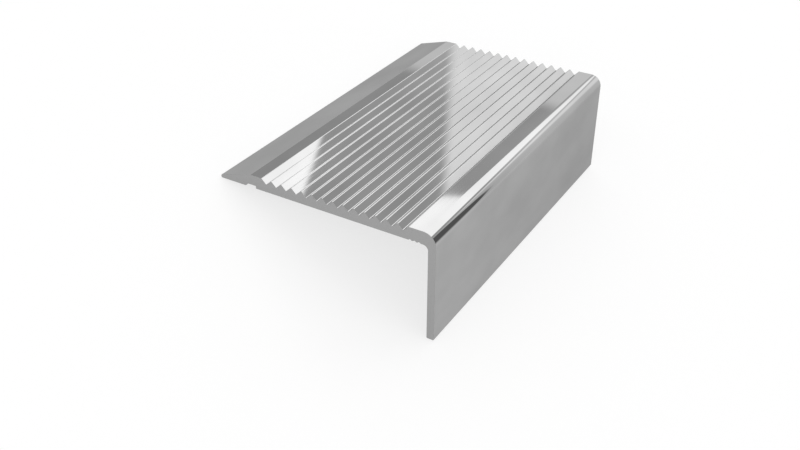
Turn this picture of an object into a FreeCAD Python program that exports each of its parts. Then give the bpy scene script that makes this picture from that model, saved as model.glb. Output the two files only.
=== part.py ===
import FreeCAD, Part
import Sketcher
import math
import os

# Aluminium stair nosing, a piece cut from one extruded angle profile.
#
# The section has a thin back tip, a straight ramp up to a flat shoulder, a field of V grooves
# against slipping, a flat land, a rounded nose and a leg that covers the edge of the riser.
# Under the tread plate lie a shallow channel for the adhesive and three small key notches.
#
# The section is drawn on the XZ plane: X runs forward from the back tip and Z runs up from the
# foot of the leg. The profile runs along Y, with its middle at Y = 0.
# The piece lies as it comes to rest, unheld, on a level floor: it stands like a tent on the
# lower edge of its back tip and on the inner edge of its foot.

# Driving dimensions, in millimetres
SIZES = {
    "cut_length": 100.0,        # length of the piece
    "ramp_run": 9.6,            # back tip to the top of the ramp
    "shoulder_width": 3.45,     # flat between the ramp and the first groove
    "groove_pitch": 3.0,        # one groove to the next
    "groove_count": 14,
    "groove_depth": 1.375,      # crest to valley
    "crest_width": 0.25,        # flat left between two grooves
    "crest_round": 0.22,        # rounding of a groove's two lips
    "valley_round": 0.2,        # rounding of a groove's valley
    "land_width": 7.2,          # last groove to the outer face of the leg
    "overall_height": 30.0,     # tread face to foot
    "plate_thickness": 3.5,     # tread plate, measured at the crests
    "leg_thickness": 2.0,
    "tip_thickness": 0.8,       # blunt end of the back tip
    "tip_round": 0.38,          # rounding of the tip's two edges
    "nose_radius": 3.2,         # outer rounding of the step's edge
    "corner_radius": 1.4,       # inner rounding between plate and leg
    "edge_round": 0.25,         # rounding of the foot edges and of the crease above the ramp
    "channel_setback": 7.8,     # back tip to the adhesive channel
    "channel_width": 3.2,
    "channel_depth": 0.75,
    "channel_slope": 0.8,       # run of the channel's sloping back side
    "channel_round": 0.15,      # rounding of the channel's two inner edges
    "notch_setback": 2.4,       # inner face of the leg to the first key notch
    "notch_pitch": 1.2,
    "notch_count": 3,
    "notch_width": 0.9,
    "notch_depth": 0.3,
}

# Places in the section that follow from them, as formulas of the sheet
PLACES = {
    "groove_mouth": "=groove_pitch - crest_width",
    "first_groove": "=ramp_run + shoulder_width + groove_mouth / 2",
    "last_groove": "=first_groove + (groove_count - 1) * groove_pitch",
    "valley_level": "=overall_height - groove_depth",
    "overall_depth": "=last_groove + groove_mouth / 2 + land_width",
    "underside": "=overall_height - plate_thickness",
    "tip_top": "=underside + tip_thickness",
    "leg_inner": "=overall_depth - leg_thickness",
    "channel_front": "=channel_setback + channel_width",
    "channel_roof": "=underside + channel_depth",
    "first_notch": "=leg_inner - notch_setback",
    "notch_roof": "=underside + notch_depth",
}

# How the piece lies on the floor. Its contacts are the rounded lower edge of the tip and the
# rounded inner edge of the foot, so the tilt is that of the floor line touching both rounds:
# the line between their centres, corrected for their different radii.
REST = {
    "contact_run": "=leg_inner + edge_round - tip_round",
    "contact_drop": "=underside + tip_round - edge_round",
    "contact_span": "=sqrt(contact_run ^ 2 + contact_drop ^ 2)",
    "rest_tilt": "=atan(contact_drop / contact_run) + asin((edge_round - tip_round) / contact_span)",
    "rest_rise": "=tip_round * (1 - sin(rest_tilt)) - (underside + tip_round) * cos(rest_tilt)",
    "ramp_angle": "=atan((plate_thickness - tip_thickness) / ramp_run)",
    "tip_centre": "=tip_top + tip_round * tan(ramp_angle) - tip_round / cos(ramp_angle)",
    "rest_back": "=tip_round * cos(rest_tilt) - tip_centre * sin(rest_tilt) - tip_round",
    "rest_front": "=(overall_depth - edge_round) * cos(rest_tilt) + edge_round * (1 - sin(rest_tilt))",
    "rest_shift": "=-(rest_back + rest_front) / 2",
}

CLOSE = 1e-4                    # how near an edge lies to the place that names it
ALUMINIUM = 2.70e-6             # kg per cubic millimetre


def main():
    doc = FreeCAD.newDocument("StairNosing")
    sheet = make_sheet(doc)
    body = doc.addObject("PartDesign::Body", "NosingProfile")
    body.Label = "nosing_profile"
    add_angle_section(body)
    add_large_rounds(body, sheet)
    add_tread_grooves(body, sheet)
    add_adhesive_channel(body, sheet)
    add_key_notches(body)
    lay_down(body)
    doc.recompute()
    check(doc, body)
    os.makedirs("parts", exist_ok=True)
    body.Shape.exportStep("parts/%s.step" % body.Label)
    describe(body)


def make_sheet(doc):
    """The sheet that holds every size of the profile."""
    sheet = doc.addObject("Spreadsheet::Sheet", "Sizes")
    for row, (alias, value) in enumerate({**SIZES, **PLACES, **REST}.items(), start=1):
        sheet.set("A%d" % row, alias)
        sheet.set("B%d" % row, str(value))
        sheet.setAlias("B%d" % row, alias)
    doc.recompute()
    return sheet


def new_sketch(body, name):
    """An empty sketch on the body's own XZ plane."""
    plane = next(f for f in body.Origin.OriginFeatures if f.Role == "XZ_Plane")
    sketch = body.newObject("Sketcher::SketchObject", name)
    sketch.AttachmentSupport = [(plane, "")]
    sketch.MapMode = "FlatFace"
    return sketch


def draw_outline(sketch, corners):
    """A closed outline of straight lines. Each corner is a pair of formulas: across and up."""
    places = [[sketch.evalExpression(formula) for formula in corner] for corner in corners]
    points = [FreeCAD.Vector(float(across), float(up), 0) for across, up in places]
    for start, end in zip(points, points[1:] + points[:1]):
        sketch.addGeometry(Part.LineSegment(start, end))
    for line in range(len(corners)):
        following = (line + 1) % len(corners)
        sketch.addConstraint(Sketcher.Constraint("Coincident", line, 2, following, 1))
    for line, (across, up) in enumerate(corners):
        fix_start(sketch, line, "DistanceX", across, -2)
        fix_start(sketch, line, "DistanceY", up, -1)


def fix_start(sketch, line, direction, formula, axis):
    """Hold a line's start at a distance from the origin, or on the axis where that is zero."""
    if formula == "0":
        sketch.addConstraint(Sketcher.Constraint("PointOnObject", line, 1, axis))
        return
    distance = float(sketch.evalExpression(formula))
    index = sketch.addConstraint(Sketcher.Constraint(direction, -1, 1, line, 1, distance))
    sketch.setExpression("Constraints[%d]" % index, formula)


def round_edges(body, name, places, radius):
    """Round the edges that run along the profile at these places (x, z) of the section."""
    body.Document.recompute()
    base = body.Tip
    names = []
    for number, edge in enumerate(base.Shape.Edges, start=1):
        ends = [vertex.Point for vertex in edge.Vertexes]
        for x, z in places:
            if all(math.hypot(end.x - x, end.z - z) < CLOSE for end in ends):
                names.append("Edge%d" % number)
    if len(names) != len(places):
        raise RuntimeError("%s: %d places but %d edges" % (name, len(places), len(names)))
    rounding = body.newObject("PartDesign::Fillet", name)
    rounding.Base = (base, names)
    rounding.setExpression("Radius", radius)


def cut_through(body, name, corners):
    """Cut an outline out of the section, over the whole length of the profile."""
    sketch = new_sketch(body, name + "Outline")
    draw_outline(sketch, corners)
    pocket = body.newObject("PartDesign::Pocket", name)
    pocket.Profile = sketch
    pocket.Type = "ThroughAll"
    pocket.SideType = "Symmetric"
    return sketch, pocket


def repeat(body, name, pocket, sketch, pitch, count, backwards):
    """Repeat a cut across the section."""
    pattern = body.newObject("PartDesign::LinearPattern", name)
    pattern.Originals = [pocket]
    pattern.Direction = (sketch, ["H_Axis"])
    pattern.Reversed = backwards
    pattern.Mode = "Spacing"
    pattern.setExpression("Offset", pitch)
    pattern.setExpression("Occurrences", count)
    body.Tip = pattern


def add_angle_section(body):
    """The full section with sharp corners: back tip, ramp, tread plate and leg."""
    sketch = new_sketch(body, "AngleOutline")
    draw_outline(sketch, [
        ("0", "Sizes.underside"),
        ("Sizes.leg_inner", "Sizes.underside"),
        ("Sizes.leg_inner", "0"),
        ("Sizes.overall_depth", "0"),
        ("Sizes.overall_depth", "Sizes.overall_height"),
        ("Sizes.ramp_run", "Sizes.overall_height"),
        ("0", "Sizes.tip_top"),
    ])
    pad = body.newObject("PartDesign::Pad", "Profile")
    pad.Profile = sketch
    pad.SideType = "Symmetric"
    pad.setExpression("Length", "Sizes.cut_length")


def add_large_rounds(body, sheet):
    """The rounded nose, the inner corner, the tip, and the soft edges of ramp and foot."""
    round_edges(body, "NoseRound", [(sheet.overall_depth, sheet.overall_height)],
                "Sizes.nose_radius")
    round_edges(body, "InnerCornerRound", [(sheet.leg_inner, sheet.underside)],
                "Sizes.corner_radius")
    round_edges(body, "TipRounds", [(0, sheet.underside), (0, sheet.tip_top)],
                "Sizes.tip_round")
    round_edges(body, "EdgeRounds", [
        (sheet.ramp_run, sheet.overall_height),
        (sheet.leg_inner, 0),
        (sheet.overall_depth, 0),
    ], "Sizes.edge_round")


def add_tread_grooves(body, sheet):
    """The field of V grooves, with a narrow, rounded crest between each two."""
    lip = "Sizes.first_groove %s Sizes.groove_mouth / 2"
    sketch, pocket = cut_through(body, "Groove", [
        (lip % "-", "Sizes.overall_height"),
        ("Sizes.first_groove", "Sizes.valley_level"),
        (lip % "+", "Sizes.overall_height"),
    ])
    repeat(body, "Grooves", pocket, sketch, "Sizes.groove_pitch", "Sizes.groove_count", False)
    middles = [sheet.first_groove + n * sheet.groove_pitch for n in range(sheet.groove_count)]
    lips = [(middle + side * sheet.groove_mouth / 2, sheet.overall_height)
            for middle in middles for side in (-1, 1)]
    valleys = [(middle, sheet.valley_level) for middle in middles]
    round_edges(body, "CrestRounds", lips, "Sizes.crest_round")
    round_edges(body, "ValleyRounds", valleys, "Sizes.valley_round")


def add_adhesive_channel(body, sheet):
    """The shallow channel under the ramp: square in front, sloping up from the back."""
    cut_through(body, "AdhesiveChannel", [
        ("Sizes.channel_setback", "Sizes.underside"),
        ("Sizes.channel_front", "Sizes.underside"),
        ("Sizes.channel_front", "Sizes.channel_roof"),
        ("Sizes.channel_setback + Sizes.channel_slope", "Sizes.channel_roof"),
    ])
    round_edges(body, "ChannelRounds", [
        (sheet.channel_front, sheet.channel_roof),
        (sheet.channel_setback + sheet.channel_slope, sheet.channel_roof),
    ], "Sizes.channel_round")


def add_key_notches(body):
    """Three small V notches by the inner corner, which key the adhesive."""
    sketch, pocket = cut_through(body, "KeyNotch", [
        ("Sizes.first_notch - Sizes.notch_width / 2", "Sizes.underside"),
        ("Sizes.first_notch + Sizes.notch_width / 2", "Sizes.underside"),
        ("Sizes.first_notch", "Sizes.notch_roof"),
    ])
    repeat(body, "KeyNotches", pocket, sketch, "Sizes.notch_pitch", "Sizes.notch_count", True)


def lay_down(body):
    """Tilt the piece about its length until tip and foot touch the floor."""
    tilt_axis = FreeCAD.Vector(0, -1, 0)
    body.Placement = FreeCAD.Placement(FreeCAD.Vector(), FreeCAD.Rotation(tilt_axis, 1))
    body.setExpression("Placement.Rotation.Angle", "Sizes.rest_tilt")
    body.setExpression("Placement.Base.x", "Sizes.rest_shift")
    body.setExpression("Placement.Base.z", "Sizes.rest_rise")


def check(doc, body):
    """Stop if a feature failed, a cut removed nothing, or the body isn't one sound solid."""
    for item in doc.Objects:
        if "Invalid" in item.State or "Error" in item.State:
            raise RuntimeError("%s failed: %s" % (item.Name, item.State))
    for item in doc.Objects:
        if item.TypeId in ("PartDesign::Pocket", "PartDesign::LinearPattern"):
            if item.Shape.Volume >= item.BaseFeature.Shape.Volume - CLOSE:
                raise RuntimeError("%s cuts nothing" % item.Name)
    shape = body.Shape
    if shape.isNull() or not shape.isValid() or len(shape.Solids) != 1:
        raise RuntimeError("%s isn't one valid solid" % body.Label)


def describe(body):
    """Print the size, volume and mass of the piece."""
    box = body.Shape.BoundBox
    print("X %.3f to %.3f, Y %.3f to %.3f, Z %.3f to %.3f" % (
        box.XMin, box.XMax, box.YMin, box.YMax, box.ZMin, box.ZMax))
    volume = body.Shape.Volume
    print("volume %.1f mm3, mass %.4f kg, faces %d" % (
        volume, volume * ALUMINIUM, len(body.Shape.Faces)))


main()
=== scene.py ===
# %% [markdown]
# An aluminium stair nosing, 100 mm long, cut from one extruded angle profile. A die gives such
# a profile the same section from end to end, so the whole piece is one outline carried along
# one straight line. The measured solid is already there. This lesson dresses it: a finer
# surface with true rounds, the bright drawn finish, the sawn ends, a floor and studio light.

import math

import bpy
import numpy as np
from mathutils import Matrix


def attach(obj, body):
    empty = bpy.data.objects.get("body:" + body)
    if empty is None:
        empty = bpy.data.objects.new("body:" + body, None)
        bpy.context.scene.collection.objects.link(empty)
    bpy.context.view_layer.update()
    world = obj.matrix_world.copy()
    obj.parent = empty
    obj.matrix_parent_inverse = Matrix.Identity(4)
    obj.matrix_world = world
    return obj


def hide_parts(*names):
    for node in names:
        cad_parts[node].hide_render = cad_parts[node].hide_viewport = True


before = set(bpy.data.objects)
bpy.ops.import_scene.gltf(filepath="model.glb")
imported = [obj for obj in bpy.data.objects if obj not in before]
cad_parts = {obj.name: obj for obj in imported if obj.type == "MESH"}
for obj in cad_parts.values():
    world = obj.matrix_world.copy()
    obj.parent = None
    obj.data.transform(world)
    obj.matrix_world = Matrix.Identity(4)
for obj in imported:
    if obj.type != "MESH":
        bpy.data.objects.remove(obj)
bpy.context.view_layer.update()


# %% [markdown]
# The section is drawn first, as the die maker draws it: sharp corners, each with the radius
# that rounds it. It could be traced point by point, but corners and radii are what a drawing
# gives, and they keep the flats truly flat. X runs forward from the thin back tip, and Z runs
# up from the foot of the leg, both in millimetres.

# %% The outline of tread, nose and leg
HEIGHT = 30.0                   # tread face above the foot
DEPTH = 62.0                    # back tip to the outer face of the leg
UNDERSIDE = 26.5
LEG_INNER = 60.0
RAMP_RUN = 9.6
TIP_TOP = 27.3
TIP_ROUND = 0.38
EDGE_ROUND = 0.25
CORNER_ROUND = 1.4
NOSE_ROUND = 3.2
CRISP = 0.08                    # a cut edge that only looks sharp

# %% [markdown]
# Under the plate lie a shallow channel for the adhesive, square in front and sloping behind,
# and three small key notches next to the inner corner. Each is a few corners in the same
# outline. The notches repeat, so a small table of one notch is added to a row of middles.

# %% The channel and the key notches
CHANNEL_BACK = 7.8
CHANNEL_FRONT = 11.0
CHANNEL_SLOPE = 0.8             # run of its sloping back side
CHANNEL_ROOF = UNDERSIDE + 0.75
CHANNEL_ROUND = 0.15
CHANNEL = [
    (CHANNEL_BACK, UNDERSIDE, CRISP),
    (CHANNEL_BACK + CHANNEL_SLOPE, CHANNEL_ROOF, CHANNEL_ROUND),
    (CHANNEL_FRONT, CHANNEL_ROOF, CHANNEL_ROUND),
    (CHANNEL_FRONT, UNDERSIDE, CRISP),
]
NOTCH_HALF = 0.45
NOTCH_DEPTH = 0.3
NOTCH = np.array([
    (-NOTCH_HALF, 0.0, CRISP),
    (0.0, NOTCH_DEPTH, CRISP),
    (NOTCH_HALF, 0.0, CRISP),
])
NOTCH_MIDDLES = np.array([55.2, 56.4, 57.6])


def repeated(shape, middles, level):
    """One small shape of corners, repeated: its x is added to each middle, its z to a level."""
    across = middles[:, None] + shape[None, :, 0]
    up = np.full_like(across, level) + shape[None, :, 1]
    rounding = np.broadcast_to(shape[None, :, 2], across.shape)
    return np.stack([across, up, rounding], axis=-1).reshape(-1, 3)


notches = repeated(NOTCH, NOTCH_MIDDLES, UNDERSIDE)
print("key notch corners:", len(notches))

# %% [markdown]
# Fourteen V grooves give the foot its grip. Their walls slope at 45 degrees. The crests are
# rounded until no flat is left between two grooves, and each of them draws a thin bright line.
# The rounds could be added by a bevel afterwards, but here they are radii in the drawing.

# %% The V grooves of the tread
PITCH = 3.0
GROOVES = 14
FIRST_GROOVE = 14.425
HALF_MOUTH = 1.395
CREST_ROUND = 0.25              # leaves no flat between two grooves
VALLEY_ROUND = 0.2
GROOVE = np.array([
    (HALF_MOUTH, 0.0, CREST_ROUND),
    (0.0, -HALF_MOUTH, VALLEY_ROUND),
    (-HALF_MOUTH, 0.0, CREST_ROUND),
])
middles = FIRST_GROOVE + PITCH * np.arange(GROOVES)[::-1]
grooves = repeated(GROOVE, middles, HEIGHT)
print("groove corners:", len(grooves))

# %% The whole outline, corner by corner
corners = np.vstack([
    [(0.0, UNDERSIDE, TIP_ROUND)],
    CHANNEL,
    notches,
    [(LEG_INNER, UNDERSIDE, CORNER_ROUND), (LEG_INNER, 0.0, EDGE_ROUND)],
    [(DEPTH, 0.0, EDGE_ROUND), (DEPTH, HEIGHT, NOSE_ROUND)],
    grooves,
    [(RAMP_RUN, HEIGHT, EDGE_ROUND), (0.0, TIP_TOP, TIP_ROUND)],
])
print("corners in the section:", len(corners))

# %% [markdown]
# Every corner now becomes an arc. The two sides of a corner, as unit vectors, give half the
# angle between them. The arc starts where it touches the first side and ends where it touches
# the second. All corners are worked out at once, as rows of arrays. The direction from each
# arc's centre is kept too: it is the exact surface normal there, on a flat as on a round.

# %% From corners to arcs
ARC_POINTS = 13


def rounded_outline(corners, steps):
    """Points and outward normals of an outline whose corners are rounded.

    Along a side, the tangent point lies radius / tan(half angle) from the corner. The centre
    lies radius / sin(half angle) from it, on the line that halves the angle. A point of the
    arc is the centre plus the radius times the cosine and sine of an angle that runs evenly
    from the first tangent point to the second.
    """
    place, radius = corners[:, :2], corners[:, 2]
    back = np.roll(place, 1, axis=0) - place
    ahead = np.roll(place, -1, axis=0) - place
    back /= np.linalg.norm(back, axis=1)[:, None]
    ahead /= np.linalg.norm(ahead, axis=1)[:, None]
    half = np.arccos(np.sum(back * ahead, axis=1)) / 2
    middle = back + ahead
    middle /= np.linalg.norm(middle, axis=1)[:, None]
    centre = place + middle * (radius / np.sin(half))[:, None]
    touch = radius / np.tan(half)
    start = place + back * touch[:, None] - centre
    end = place + ahead * touch[:, None] - centre
    first = np.arctan2(start[:, 1], start[:, 0])
    turn = np.arctan2(end[:, 1], end[:, 0]) - first
    turn = (turn + math.pi) % (2 * math.pi) - math.pi
    angle = first[:, None] + turn[:, None] * np.linspace(0.0, 1.0, steps)
    ray = np.stack([np.cos(angle), np.sin(angle)], axis=-1)
    points = centre[:, None] + ray * radius[:, None, None]
    outward = ray * np.sign(turn)[:, None, None]
    return points.reshape(-1, 2), outward.reshape(-1, 2)


outline, outward = rounded_outline(corners, ARC_POINTS)
print("points round the section:", len(outline))

# %% [markdown]
# The piece lies as it comes to rest: like a tent, on the lower edge of its tip and on the inner
# edge of its foot. The tilt is that of a line which touches both small rounds. It is turned
# here, in the points, so that the finished object itself stays unturned at the origin.

# %% How the piece lies on the floor
run = LEG_INNER + EDGE_ROUND - TIP_ROUND
drop = UNDERSIDE + TIP_ROUND - EDGE_ROUND
TILT = math.atan(drop / run) + math.asin((EDGE_ROUND - TIP_ROUND) / math.hypot(run, drop))


def turned(across, up, tilt=TILT):
    """Section axes to floor axes: a turn about the length by the tilt, tip down."""
    floor_across = across * math.cos(tilt) - up * math.sin(tilt)
    floor_up = across * math.sin(tilt) + up * math.cos(tilt)
    return floor_across, floor_up


lying_x, lying_z = turned(outline[:, 0], outline[:, 1])
SHIFT_X = -(lying_x.min() + lying_x.max()) / 2
SHIFT_Z = -lying_z.min()
print("tilt, degrees:", round(math.degrees(TILT), 3))

# %% [markdown]
# The outline is carried along the length. A saw leaves a crisp edge and a file breaks it, so
# the last twentieth of a millimetre at each end steps inwards. Each ring is the outline moved in
# along its normals by that ring's step. One grid of ring by point holds the whole surface.

# %% Carry the outline along the length
HALF_LENGTH = 50.0
BROKEN_EDGE = 0.05
RINGS = np.array([
    (-HALF_LENGTH, BROKEN_EDGE), (BROKEN_EDGE - HALF_LENGTH, 0.0),
    (HALF_LENGTH - BROKEN_EDGE, 0.0), (HALF_LENGTH, BROKEN_EDGE),
])
MM = 0.001


def carried(outline, outward, rings):
    """Grid of points: outline minus its normal times a ring's step, at that ring's place."""
    flat = outline[None] - outward[None] * rings[:, None, 1:]
    x, z = turned(flat[..., 0], flat[..., 1])
    y = np.broadcast_to(rings[:, None, 0], x.shape)
    return np.stack([x + SHIFT_X, y, z + SHIFT_Z], axis=-1) * MM


surface = carried(outline, outward, RINGS)
print("rings and points:", surface.shape[:2])

# %% [markdown]
# The grid becomes a closed mesh: four-sided faces between the rings, and one many-sided face
# over each sawn end. A bright metal shows every error of its normals, so they are given and
# not averaged: the arcs' own directions along the sides, and straight out on the sawn ends.

# %% Build the mesh
def strip_faces(rings, points):
    """Four corner indices of each face of a grid that closes on itself round the section."""
    ring, point = np.meshgrid(np.arange(rings - 1), np.arange(points), indexing="ij")
    following = (point + 1) % points
    low, high = ring * points, (ring + 1) * points
    faces = np.stack([low + point, high + point, high + following, low + following], axis=-1)
    return faces.reshape(-1, 4)


def side_normals(outward, rings):
    """Normals of the grid: the outline's own, turned with it, and lengthwise on end rings."""
    x, z = turned(outward[:, 0], outward[:, 1])
    normals = np.zeros((len(rings), len(outward), 3))
    normals[1:-1, :, 0] = x
    normals[1:-1, :, 2] = z
    normals[0, :, 1] = -1.0
    normals[-1, :, 1] = 1.0
    return normals.reshape(-1, 3)


def closed_mesh(name, surface, outward, rings):
    """A mesh of the grid with both ends closed, and with the exact normals on its corners."""
    count = surface.shape[1]
    quads = strip_faces(len(rings), count)
    near = np.arange(count)
    far = near[::-1] + (len(rings) - 1) * count
    mesh = bpy.data.meshes.new(name)
    mesh.from_pydata(surface.reshape(-1, 3).tolist(), [],
                     quads.tolist() + [near.tolist(), far.tolist()])
    mesh.polygons.foreach_set("use_smooth", np.ones(len(mesh.polygons), bool))
    sides = side_normals(outward, rings)[quads.ravel()]
    ends = np.repeat([(0.0, -1.0, 0.0), (0.0, 1.0, 0.0)], count, axis=0)
    mesh.normals_split_custom_set(np.vstack([sides, ends]).tolist())
    mesh.update()
    return mesh


mesh = closed_mesh("nosing_surface", surface, outward, RINGS)
nosing = bpy.data.objects.new("nosing_surface", mesh)
bpy.context.scene.collection.objects.link(nosing)
print("faces:", len(mesh.polygons))

# %% Check that the faces point outwards
def enclosed_volume(mesh):
    """Volume by the divergence rule: a sixth of the sum of corner triple products."""
    mesh.calc_loop_triangles()
    corner = np.empty(len(mesh.vertices) * 3)
    mesh.vertices.foreach_get("co", corner)
    index = np.empty(len(mesh.loop_triangles) * 3, int)
    mesh.loop_triangles.foreach_get("vertices", index)
    a, b, c = np.moveaxis(corner.reshape(-1, 3)[index.reshape(-1, 3)], 1, 0)
    return float(np.sum(a * np.cross(b, c)) / 6)


volume = enclosed_volume(mesh)
print("volume, cubic millimetres:", round(volume / MM ** 3, 1))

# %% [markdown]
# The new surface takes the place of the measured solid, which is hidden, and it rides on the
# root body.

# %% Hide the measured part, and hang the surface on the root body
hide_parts("nosing_profile")
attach(nosing, "root")
print(nosing.name, "stands for nosing_profile")

# %% [markdown]
# Bright aluminium is all reflection: a metal of a neutral grey, with a gloss near that of a
# mirror. A picture of metal could be wrapped round the piece, but a pattern that is worked out
# from Object coordinates has no seams and no limit of sharpness. The finish and the studio
# light are both built from a few kinds of node, so each kind gets a helper first.

# %% Small helpers for node trees
def new_node(tree, kind, **sockets):
    """A node of a kind, with its sockets set by name."""
    node = tree.nodes.new(kind)
    for name, value in sockets.items():
        node.inputs[name.replace("_", " ")].default_value = value
    return node


def ranged(tree, source, low, high, to_low, to_high, smooth=False):
    """Map Range: from low to high onto to_low to to_high."""
    node = tree.nodes.new("ShaderNodeMapRange")
    node.interpolation_type = "SMOOTHSTEP" if smooth else "LINEAR"
    for name, value in (("From Min", low), ("From Max", high),
                        ("To Min", to_low), ("To Max", to_high)):
        node.inputs[name].default_value = value
    tree.links.new(source, node.inputs["Value"])
    return node.outputs["Result"]


def maths(tree, operation, first, second):
    """One Math node. Each operand is a socket or a number."""
    node = tree.nodes.new("ShaderNodeMath")
    node.operation = operation
    for socket, value in zip(node.inputs, (first, second)):
        if isinstance(value, (int, float)):
            socket.default_value = value
        else:
            tree.links.new(value, socket)
    return node.outputs["Value"]


def laid_over(tree, base, mask, other):
    """The base value, replaced by another where the mask is 1."""
    gap = maths(tree, "SUBTRACT", other, base)
    return maths(tree, "ADD", base, maths(tree, "MULTIPLY", gap, mask))


def grey(value):
    """A colour of equal red, green and blue."""
    return (value, value, value, 1.0)


# %% [markdown]
# The die leaves very fine lines along the length, handling leaves faint cloudy patches, and the
# saw leaves lines across the ends. Each comes from one noise, whose coordinates are stretched:
# drawn out along Y it makes lines, and left nearly even it makes clouds.

# %% The patterns of die, handling and saw
DIE_LINES = (5000.0, 12.0, 5000.0)      # cells of noise for each metre along X, Y and Z
CLOUDS = (90.0, 45.0, 90.0)
SAW_LINES = (600.0, 0.0, 9000.0)
FINE_DETAIL = 3.0
SOFT_DETAIL = 2.0
USUAL = (0.3, 0.7)                      # nearly all values of a noise lie between these


def stretched_noise(tree, coordinates, scale, detail):
    """Noise on coordinates that are multiplied by a scale for each axis."""
    mapping = new_node(tree, "ShaderNodeMapping", Scale=scale)
    noise = new_node(tree, "ShaderNodeTexNoise", Scale=1.0, Detail=detail)
    tree.links.new(coordinates, mapping.inputs["Vector"])
    tree.links.new(mapping.outputs["Vector"], noise.inputs["Vector"])
    return noise.outputs["Fac"]


aluminium = bpy.data.materials.new("bright_aluminium")
aluminium.use_nodes = True
finish = aluminium.node_tree
place = finish.nodes.new("ShaderNodeTexCoord").outputs["Object"]
die_lines = stretched_noise(finish, place, DIE_LINES, FINE_DETAIL)
clouds = stretched_noise(finish, place, CLOUDS, SOFT_DETAIL)
saw_lines = stretched_noise(finish, place, SAW_LINES, FINE_DETAIL)
print("nodes for the patterns:", len(finish.nodes))

# %% [markdown]
# The same material serves the drawn sides and the sawn ends. A mask tells them apart: it is 1
# where a point lies at the very end of the length. The clouds move the grey a little. Metals
# turn white at flat angles, and this one less than most, so its edge tint is a grey as well.

# %% The greys of the sides and of the sawn ends
SAWN_FROM = (0.04992, 0.04996)          # metres from the middle, just before the end
METAL_GREY = 0.45
CLOUDINESS = 0.07                       # share by which the clouds move the grey
SAWN_GREY = 0.37
EDGE_TINT = 0.55

split = finish.nodes.new("ShaderNodeSeparateXYZ")
finish.links.new(place, split.inputs["Vector"])
far_out = maths(finish, "ABSOLUTE", split.outputs["Y"], 0.0)
sawn = ranged(finish, far_out, *SAWN_FROM, 0.0, 1.0)
drawn_grey = ranged(finish, clouds, *USUAL,
                    METAL_GREY * (1 - CLOUDINESS), METAL_GREY * (1 + CLOUDINESS))
metal = finish.nodes["Principled BSDF"]
metal.inputs["Metallic"].default_value = 1.0
metal.inputs["Specular Tint"].default_value = grey(EDGE_TINT)
finish.links.new(laid_over(finish, drawn_grey, sawn, SAWN_GREY), metal.inputs["Base Color"])
print("greys of sides and ends:", METAL_GREY, SAWN_GREY)

# %% [markdown]
# Lines and clouds move the roughness, and the lines give a very shallow bump. On the ends the
# saw's marks do both, and more strongly, so the ends look dull beside the sides.

# %% Gloss and relief
DRAWN_ROUGHNESS = (0.015, 0.035)
CLOUD_ROUGHNESS = (0.0, 0.015)          # what the clouds add
SAWN_ROUGHNESS = (0.26, 0.38)
DRAWN_RELIEF = 0.02
SAWN_RELIEF = 0.5
BUMP_STRENGTH = 0.5
BUMP_DEPTH = 0.00002                    # metres

drawn_roughness = maths(finish, "ADD", ranged(finish, die_lines, *USUAL, *DRAWN_ROUGHNESS),
                        ranged(finish, clouds, *USUAL, *CLOUD_ROUGHNESS))
sawn_roughness = ranged(finish, saw_lines, *USUAL, *SAWN_ROUGHNESS)
roughness = laid_over(finish, drawn_roughness, sawn, sawn_roughness)
finish.links.new(roughness, metal.inputs["Roughness"])
relief = laid_over(finish, maths(finish, "MULTIPLY", die_lines, DRAWN_RELIEF), sawn,
                   maths(finish, "MULTIPLY", saw_lines, SAWN_RELIEF))
bump = new_node(finish, "ShaderNodeBump", Strength=BUMP_STRENGTH, Distance=BUMP_DEPTH)
finish.links.new(relief, bump.inputs["Height"])
finish.links.new(bump.outputs["Normal"], metal.inputs["Normal"])
nosing.data.materials.append(aluminium)
print("finish:", aluminium.name, "with", len(finish.nodes), "nodes")

# %% [markdown]
# The floor is plain and white. It is a real diffuse floor, so that it keeps the soft shadow of
# the piece. The rays that see it directly or in the metal get a little light of its own added,
# which lifts it from grey to white.

# %% The floor
FLOOR_HALF = 20.0
FLOOR_GREY = 0.3
FLOOR_LIFT = 0.7


def floor_material():
    """A diffuse grey that gives light of its own to camera, glossy and transmission rays."""
    material = bpy.data.materials.new("white_floor")
    material.use_nodes = True
    tree = material.node_tree
    paint = tree.nodes["Principled BSDF"]
    paint.inputs["Base Color"].default_value = grey(FLOOR_GREY)
    paint.inputs["Roughness"].default_value = 1.0
    paint.inputs["Specular IOR Level"].default_value = 0.0
    paint.inputs["Emission Color"].default_value = grey(1.0)
    path = tree.nodes.new("ShaderNodeLightPath").outputs
    seen = maths(tree, "MAXIMUM", path["Is Camera Ray"], path["Is Glossy Ray"])
    seen = maths(tree, "MAXIMUM", seen, path["Is Transmission Ray"])
    lift = maths(tree, "MULTIPLY", seen, FLOOR_LIFT)
    tree.links.new(lift, paint.inputs["Emission Strength"])
    return material


floor_corners = FLOOR_HALF * np.array([(-1, -1, 0), (1, -1, 0), (1, 1, 0), (-1, 1, 0)])
floor_mesh = bpy.data.meshes.new("floor")
floor_mesh.from_pydata(floor_corners.tolist(), [], [(0, 1, 2, 3)])
floor_mesh.materials.append(floor_material())
floor = bpy.data.objects.new("floor", floor_mesh)
bpy.context.scene.collection.objects.link(floor)
print("floor half width, metres:", FLOOR_HALF)

# %% [markdown]
# A mirror-like metal looks the way its surroundings look, so the light is built from what each
# face mirrors. Lamps close by would do this too, but walls and boxes that are infinitely far
# away look alike from every part of the piece, and the world's own nodes can draw them. Every
# direction gets a strength, and each box is a mask that lays its own strength over the rest.

# %% Directions, and soft edges
def leaning(across, along, up, lean):
    """A direction given over the tread, as a unit vector of the room, by the boxes' lean."""
    x, z = turned(across, up, TILT + lean)
    return np.array([x, along, z])


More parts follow.
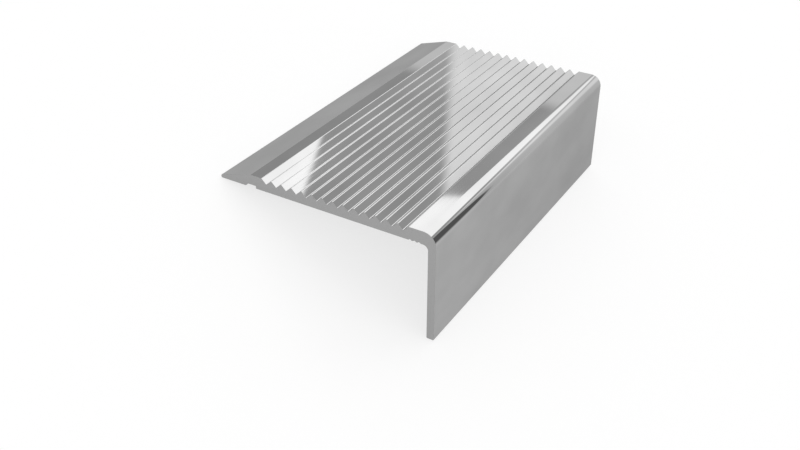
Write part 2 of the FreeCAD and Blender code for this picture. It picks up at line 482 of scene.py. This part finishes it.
def dotted(tree, direction, axis):
    """Dot product of the looked-at direction and a fixed axis."""
    node = tree.nodes.new("ShaderNodeVectorMath")
    node.operation = "DOT_PRODUCT"
    tree.links.new(direction, node.inputs[0])
    node.inputs[1].default_value = axis
    return node.outputs["Value"]


def band(tree, value, rising, falling):
    """0, smoothly up to 1 over the first pair of limits, and down to 0 over the second."""
    up = ranged(tree, value, *rising, 0.0, 1.0, True)
    down = ranged(tree, value, *falling, 1.0, 0.0, True)
    return maths(tree, "MULTIPLY", up, down)


def between(tree, value, low, high, soft):
    """1 between two limits and 0 outside, with the same soft edge on each side."""
    return band(tree, value, (low - soft, low + soft), (high - soft, high + soft))


# %% [markdown]
# A box is a rectangle on the wall behind the piece. A direction meets that wall at two numbers:
# how far across and how far up it goes for each step along. A box is where both lie between
# limits. Steps along count without their sign, so the same boxes stand in front of the piece
# too. The walls lean with the tread, because the photograph shows the tread level.

# %% Where a direction meets the walls
WALLS_LEAN = 0.02               # radians that the walls lean more than the tread
WHITE_BOX_LEAN = 0.0107
SHORTEST_STEP = 0.01            # keeps the division away from zero


def wall_places(tree, direction, lean):
    """How far across and up the wall a direction meets it, and its sine over the tread."""
    along = dotted(tree, direction, (0.0, 1.0, 0.0))
    step = maths(tree, "MAXIMUM", maths(tree, "ABSOLUTE", along, 0.0), SHORTEST_STEP)
    sine = dotted(tree, direction, leaning(0.0, 0.0, 1.0, lean))
    across = dotted(tree, direction, leaning(1.0, 0.0, 0.0, lean))
    return maths(tree, "DIVIDE", across, step), maths(tree, "DIVIDE", sine, step), sine


world = bpy.data.worlds.new("studio")
world.use_nodes = True
studio = world.node_tree
direction = studio.nodes.new("ShaderNodeTexCoord").outputs["Generated"]
height = dotted(studio, direction, (0.0, 0.0, 1.0))
along = dotted(studio, direction, (0.0, 1.0, 0.0))
across, rise, _ = wall_places(studio, direction, WALLS_LEAN)
print("nodes for the directions:", len(studio.nodes))

# %% [markdown]
# The room comes first. It is grey, darker towards the sides, with a tall pale card in the
# middle. Its lowest part is a white wall, so that the floor has no visible end. That wall ends
# a little lower where the tread mirrors it, because the tread shows the grey there.

# %% The room
ROOM = (0.68, 0.58)             # grey behind the piece, and at its sides
ROOM_TURNS = (0.4, 0.75)
PALE_CARD = 1.05
PALE_CARD_ACROSS = ((-0.42, -0.05), (0.35, 0.59))
WHITE_WALL = 1.0
WALL_TOP = (0.19, 0.22)         # sine of the height where the lower wall ends
WALL_DIP = 0.05
DIP_ACROSS = (-0.95, -0.45, 0.05)

level = ranged(studio, maths(studio, "ABSOLUTE", across, 0.0), *ROOM_TURNS, *ROOM)
level = laid_over(studio, level, band(studio, across, *PALE_CARD_ACROSS), PALE_CARD)
dip = maths(studio, "MULTIPLY", between(studio, across, *DIP_ACROSS), WALL_DIP)
low_wall = ranged(studio, maths(studio, "ADD", height, dip), *WALL_TOP, 1.0, 0.0, True)
level = laid_over(studio, level, low_wall, WHITE_WALL)
print("room, card and lower wall:", ROOM, PALE_CARD, WHITE_WALL)

# %% [markdown]
# High windows on both sides brighten what leg and tread mirror when they are seen from the
# side or from behind. The ceiling is paler than the room and lights the floor from above.

# %% The windows and the ceiling
WINDOW = 1.4
WINDOW_ALONG = (0.0, 0.5, 0.1)
WINDOW_HEIGHT = (0.35, 0.8, 0.05)
CEILING = 0.8
CEILING_FROM = (0.82, 0.88)     # sine of the height where the ceiling begins

window = maths(studio, "MULTIPLY", between(studio, along, *WINDOW_ALONG),
               between(studio, height, *WINDOW_HEIGHT))
level = laid_over(studio, level, window, WINDOW)
ceiling = ranged(studio, height, *CEILING_FROM, 0.0, 1.0, True)
level = laid_over(studio, level, ceiling, CEILING)
print("windows and ceiling:", WINDOW, CEILING)

# %% [markdown]
# Two walls are laid over the room. The one on the right is what the nose mirrors. The long
# light wall behind, brighter to the right, gives the grooves their light far end. Its foot
# fades in softly, and on the right it climbs, which cuts the light off at a slant.

# %% The right wall and the long light wall
RIGHT_WALL = (1.06, 0.86)       # strength near the middle, and far out
RIGHT_WALL_TURNS = (0.55, 0.80)
RIGHT_WALL_ACROSS = (0.1, 3.0, 0.3)
RIGHT_WALL_RISE = (-1.0, 0.45, 0.02)
LIGHT_WALL = (1.28, 1.47)       # strength on the left, and on the right
LIGHT_WALL_TURNS = (-0.6, 0.2)
LIGHT_WALL_ACROSS = (-0.9, 0.80, 0.01)
LIGHT_WALL_FOOT = (0.13, 0.37)
LIGHT_WALL_TOP = (0.511, 0.531)
FOOT_CLIMBS_FROM = 0.5

right_wall = maths(studio, "MULTIPLY", between(studio, across, *RIGHT_WALL_ACROSS),
                   between(studio, rise, *RIGHT_WALL_RISE))
right_light = ranged(studio, across, *RIGHT_WALL_TURNS, *RIGHT_WALL)
level = laid_over(studio, level, right_wall, right_light)
climb = maths(studio, "MAXIMUM", maths(studio, "SUBTRACT", across, FOOT_CLIMBS_FROM), 0.0)
foot = ranged(studio, maths(studio, "SUBTRACT", rise, climb), *LIGHT_WALL_FOOT, 0.0, 1.0, True)
top = ranged(studio, rise, *LIGHT_WALL_TOP, 1.0, 0.0, True)
light_wall = maths(studio, "MULTIPLY", between(studio, across, *LIGHT_WALL_ACROSS),
                   maths(studio, "MULTIPLY", foot, top))
wall_light = ranged(studio, across, *LIGHT_WALL_TURNS, *LIGHT_WALL)
level = laid_over(studio, level, light_wall, wall_light)
print("right wall and light wall:", RIGHT_WALL, LIGHT_WALL)

# %% [markdown]
# The white box makes the near end of the tread shine. It is bent round the piece: its height is
# the sine of the angle over the tread, and its lower edge hangs down a little in the middle. A
# black card on the right puts the dark line along the nose, and it comes last, over the rest.

# %% The white box and the black card
WHITE_BOX = 1.97
WHITE_BOX_ACROSS = (-0.8, 0.95, 0.01)
WHITE_BOX_SINE = (0.5214, 0.75, 0.0025)
HANG = 0.025
HANG_ACROSS = (-0.12, 0.22, 0.06)
BLACK_CARD = 0.17
BLACK_CARD_ACROSS = ((0.79, 0.82), (1.0, 1.3))
BLACK_CARD_RISE = ((-0.40, -0.14), (0.44, 0.48))

bent, _, sine = wall_places(studio, direction, WHITE_BOX_LEAN)
hanging = maths(studio, "MULTIPLY", between(studio, bent, *HANG_ACROSS), HANG)
box_height = between(studio, maths(studio, "ADD", sine, hanging), *WHITE_BOX_SINE)
white_box = maths(studio, "MULTIPLY", between(studio, bent, *WHITE_BOX_ACROSS), box_height)
level = laid_over(studio, level, white_box, WHITE_BOX)
black_card = maths(studio, "MULTIPLY", band(studio, across, *BLACK_CARD_ACROSS),
                   band(studio, rise, *BLACK_CARD_RISE))
level = laid_over(studio, level, black_card, BLACK_CARD)
print("white box and black card:", WHITE_BOX, BLACK_CARD)

# %% Give the strengths to the world
background = studio.nodes["Background"]
background.inputs["Color"].default_value = grey(1.0)
studio.links.new(level, background.inputs["Strength"])
bpy.context.scene.world = world
print("nodes in the studio:", len(studio.nodes))

# %% [markdown]
# The camera stands where the photograph was taken from: in front of the near end, to the right
# and above, with a lens of 45 degrees across. In the photograph the tread looks level, and
# here the piece leans on its tip, so the camera leans by the same tilt.

# %% The camera
CAMERA_PLACE = (147.76, -207.08, 148.59)    # across, along and up, in section axes, mm
CAMERA_PAN = math.radians(121.203)
CAMERA_PITCH = math.radians(32.902)
FIELD_OF_VIEW = math.radians(45.0)
NEAREST_SEEN = 0.005
FARTHEST_SEEN = 100.0

forward = np.array([math.cos(CAMERA_PAN) * math.cos(CAMERA_PITCH),
                    math.sin(CAMERA_PAN) * math.cos(CAMERA_PITCH), -math.sin(CAMERA_PITCH)])
rightward = np.array([math.sin(CAMERA_PAN), -math.cos(CAMERA_PAN), 0.0])
upward = np.cross(rightward, forward)
axes = np.array([rightward, upward, -forward])
axes_x, axes_z = turned(axes[:, 0], axes[:, 2])
place_x, place_z = turned(CAMERA_PLACE[0], CAMERA_PLACE[2])
matrix = np.eye(4)
matrix[:3, :3] = np.array([axes_x, axes[:, 1], axes_z])
matrix[:3, 3] = np.array([place_x + SHIFT_X, CAMERA_PLACE[1], place_z + SHIFT_Z]) * MM

lens = bpy.data.cameras.new("camera")
lens.sensor_fit = "HORIZONTAL"
lens.angle = FIELD_OF_VIEW
lens.clip_start = NEAREST_SEEN
lens.clip_end = FARTHEST_SEEN
camera = bpy.data.objects.new("camera", lens)
camera.matrix_world = matrix.T.tolist()
bpy.context.scene.collection.objects.link(camera)
bpy.context.scene.camera = camera
bpy.context.scene.view_settings.view_transform = "Standard"
print("camera at, metres:", [round(float(value), 4) for value in matrix[:3, 3]])

# %% The end
bpy.context.view_layer.update()
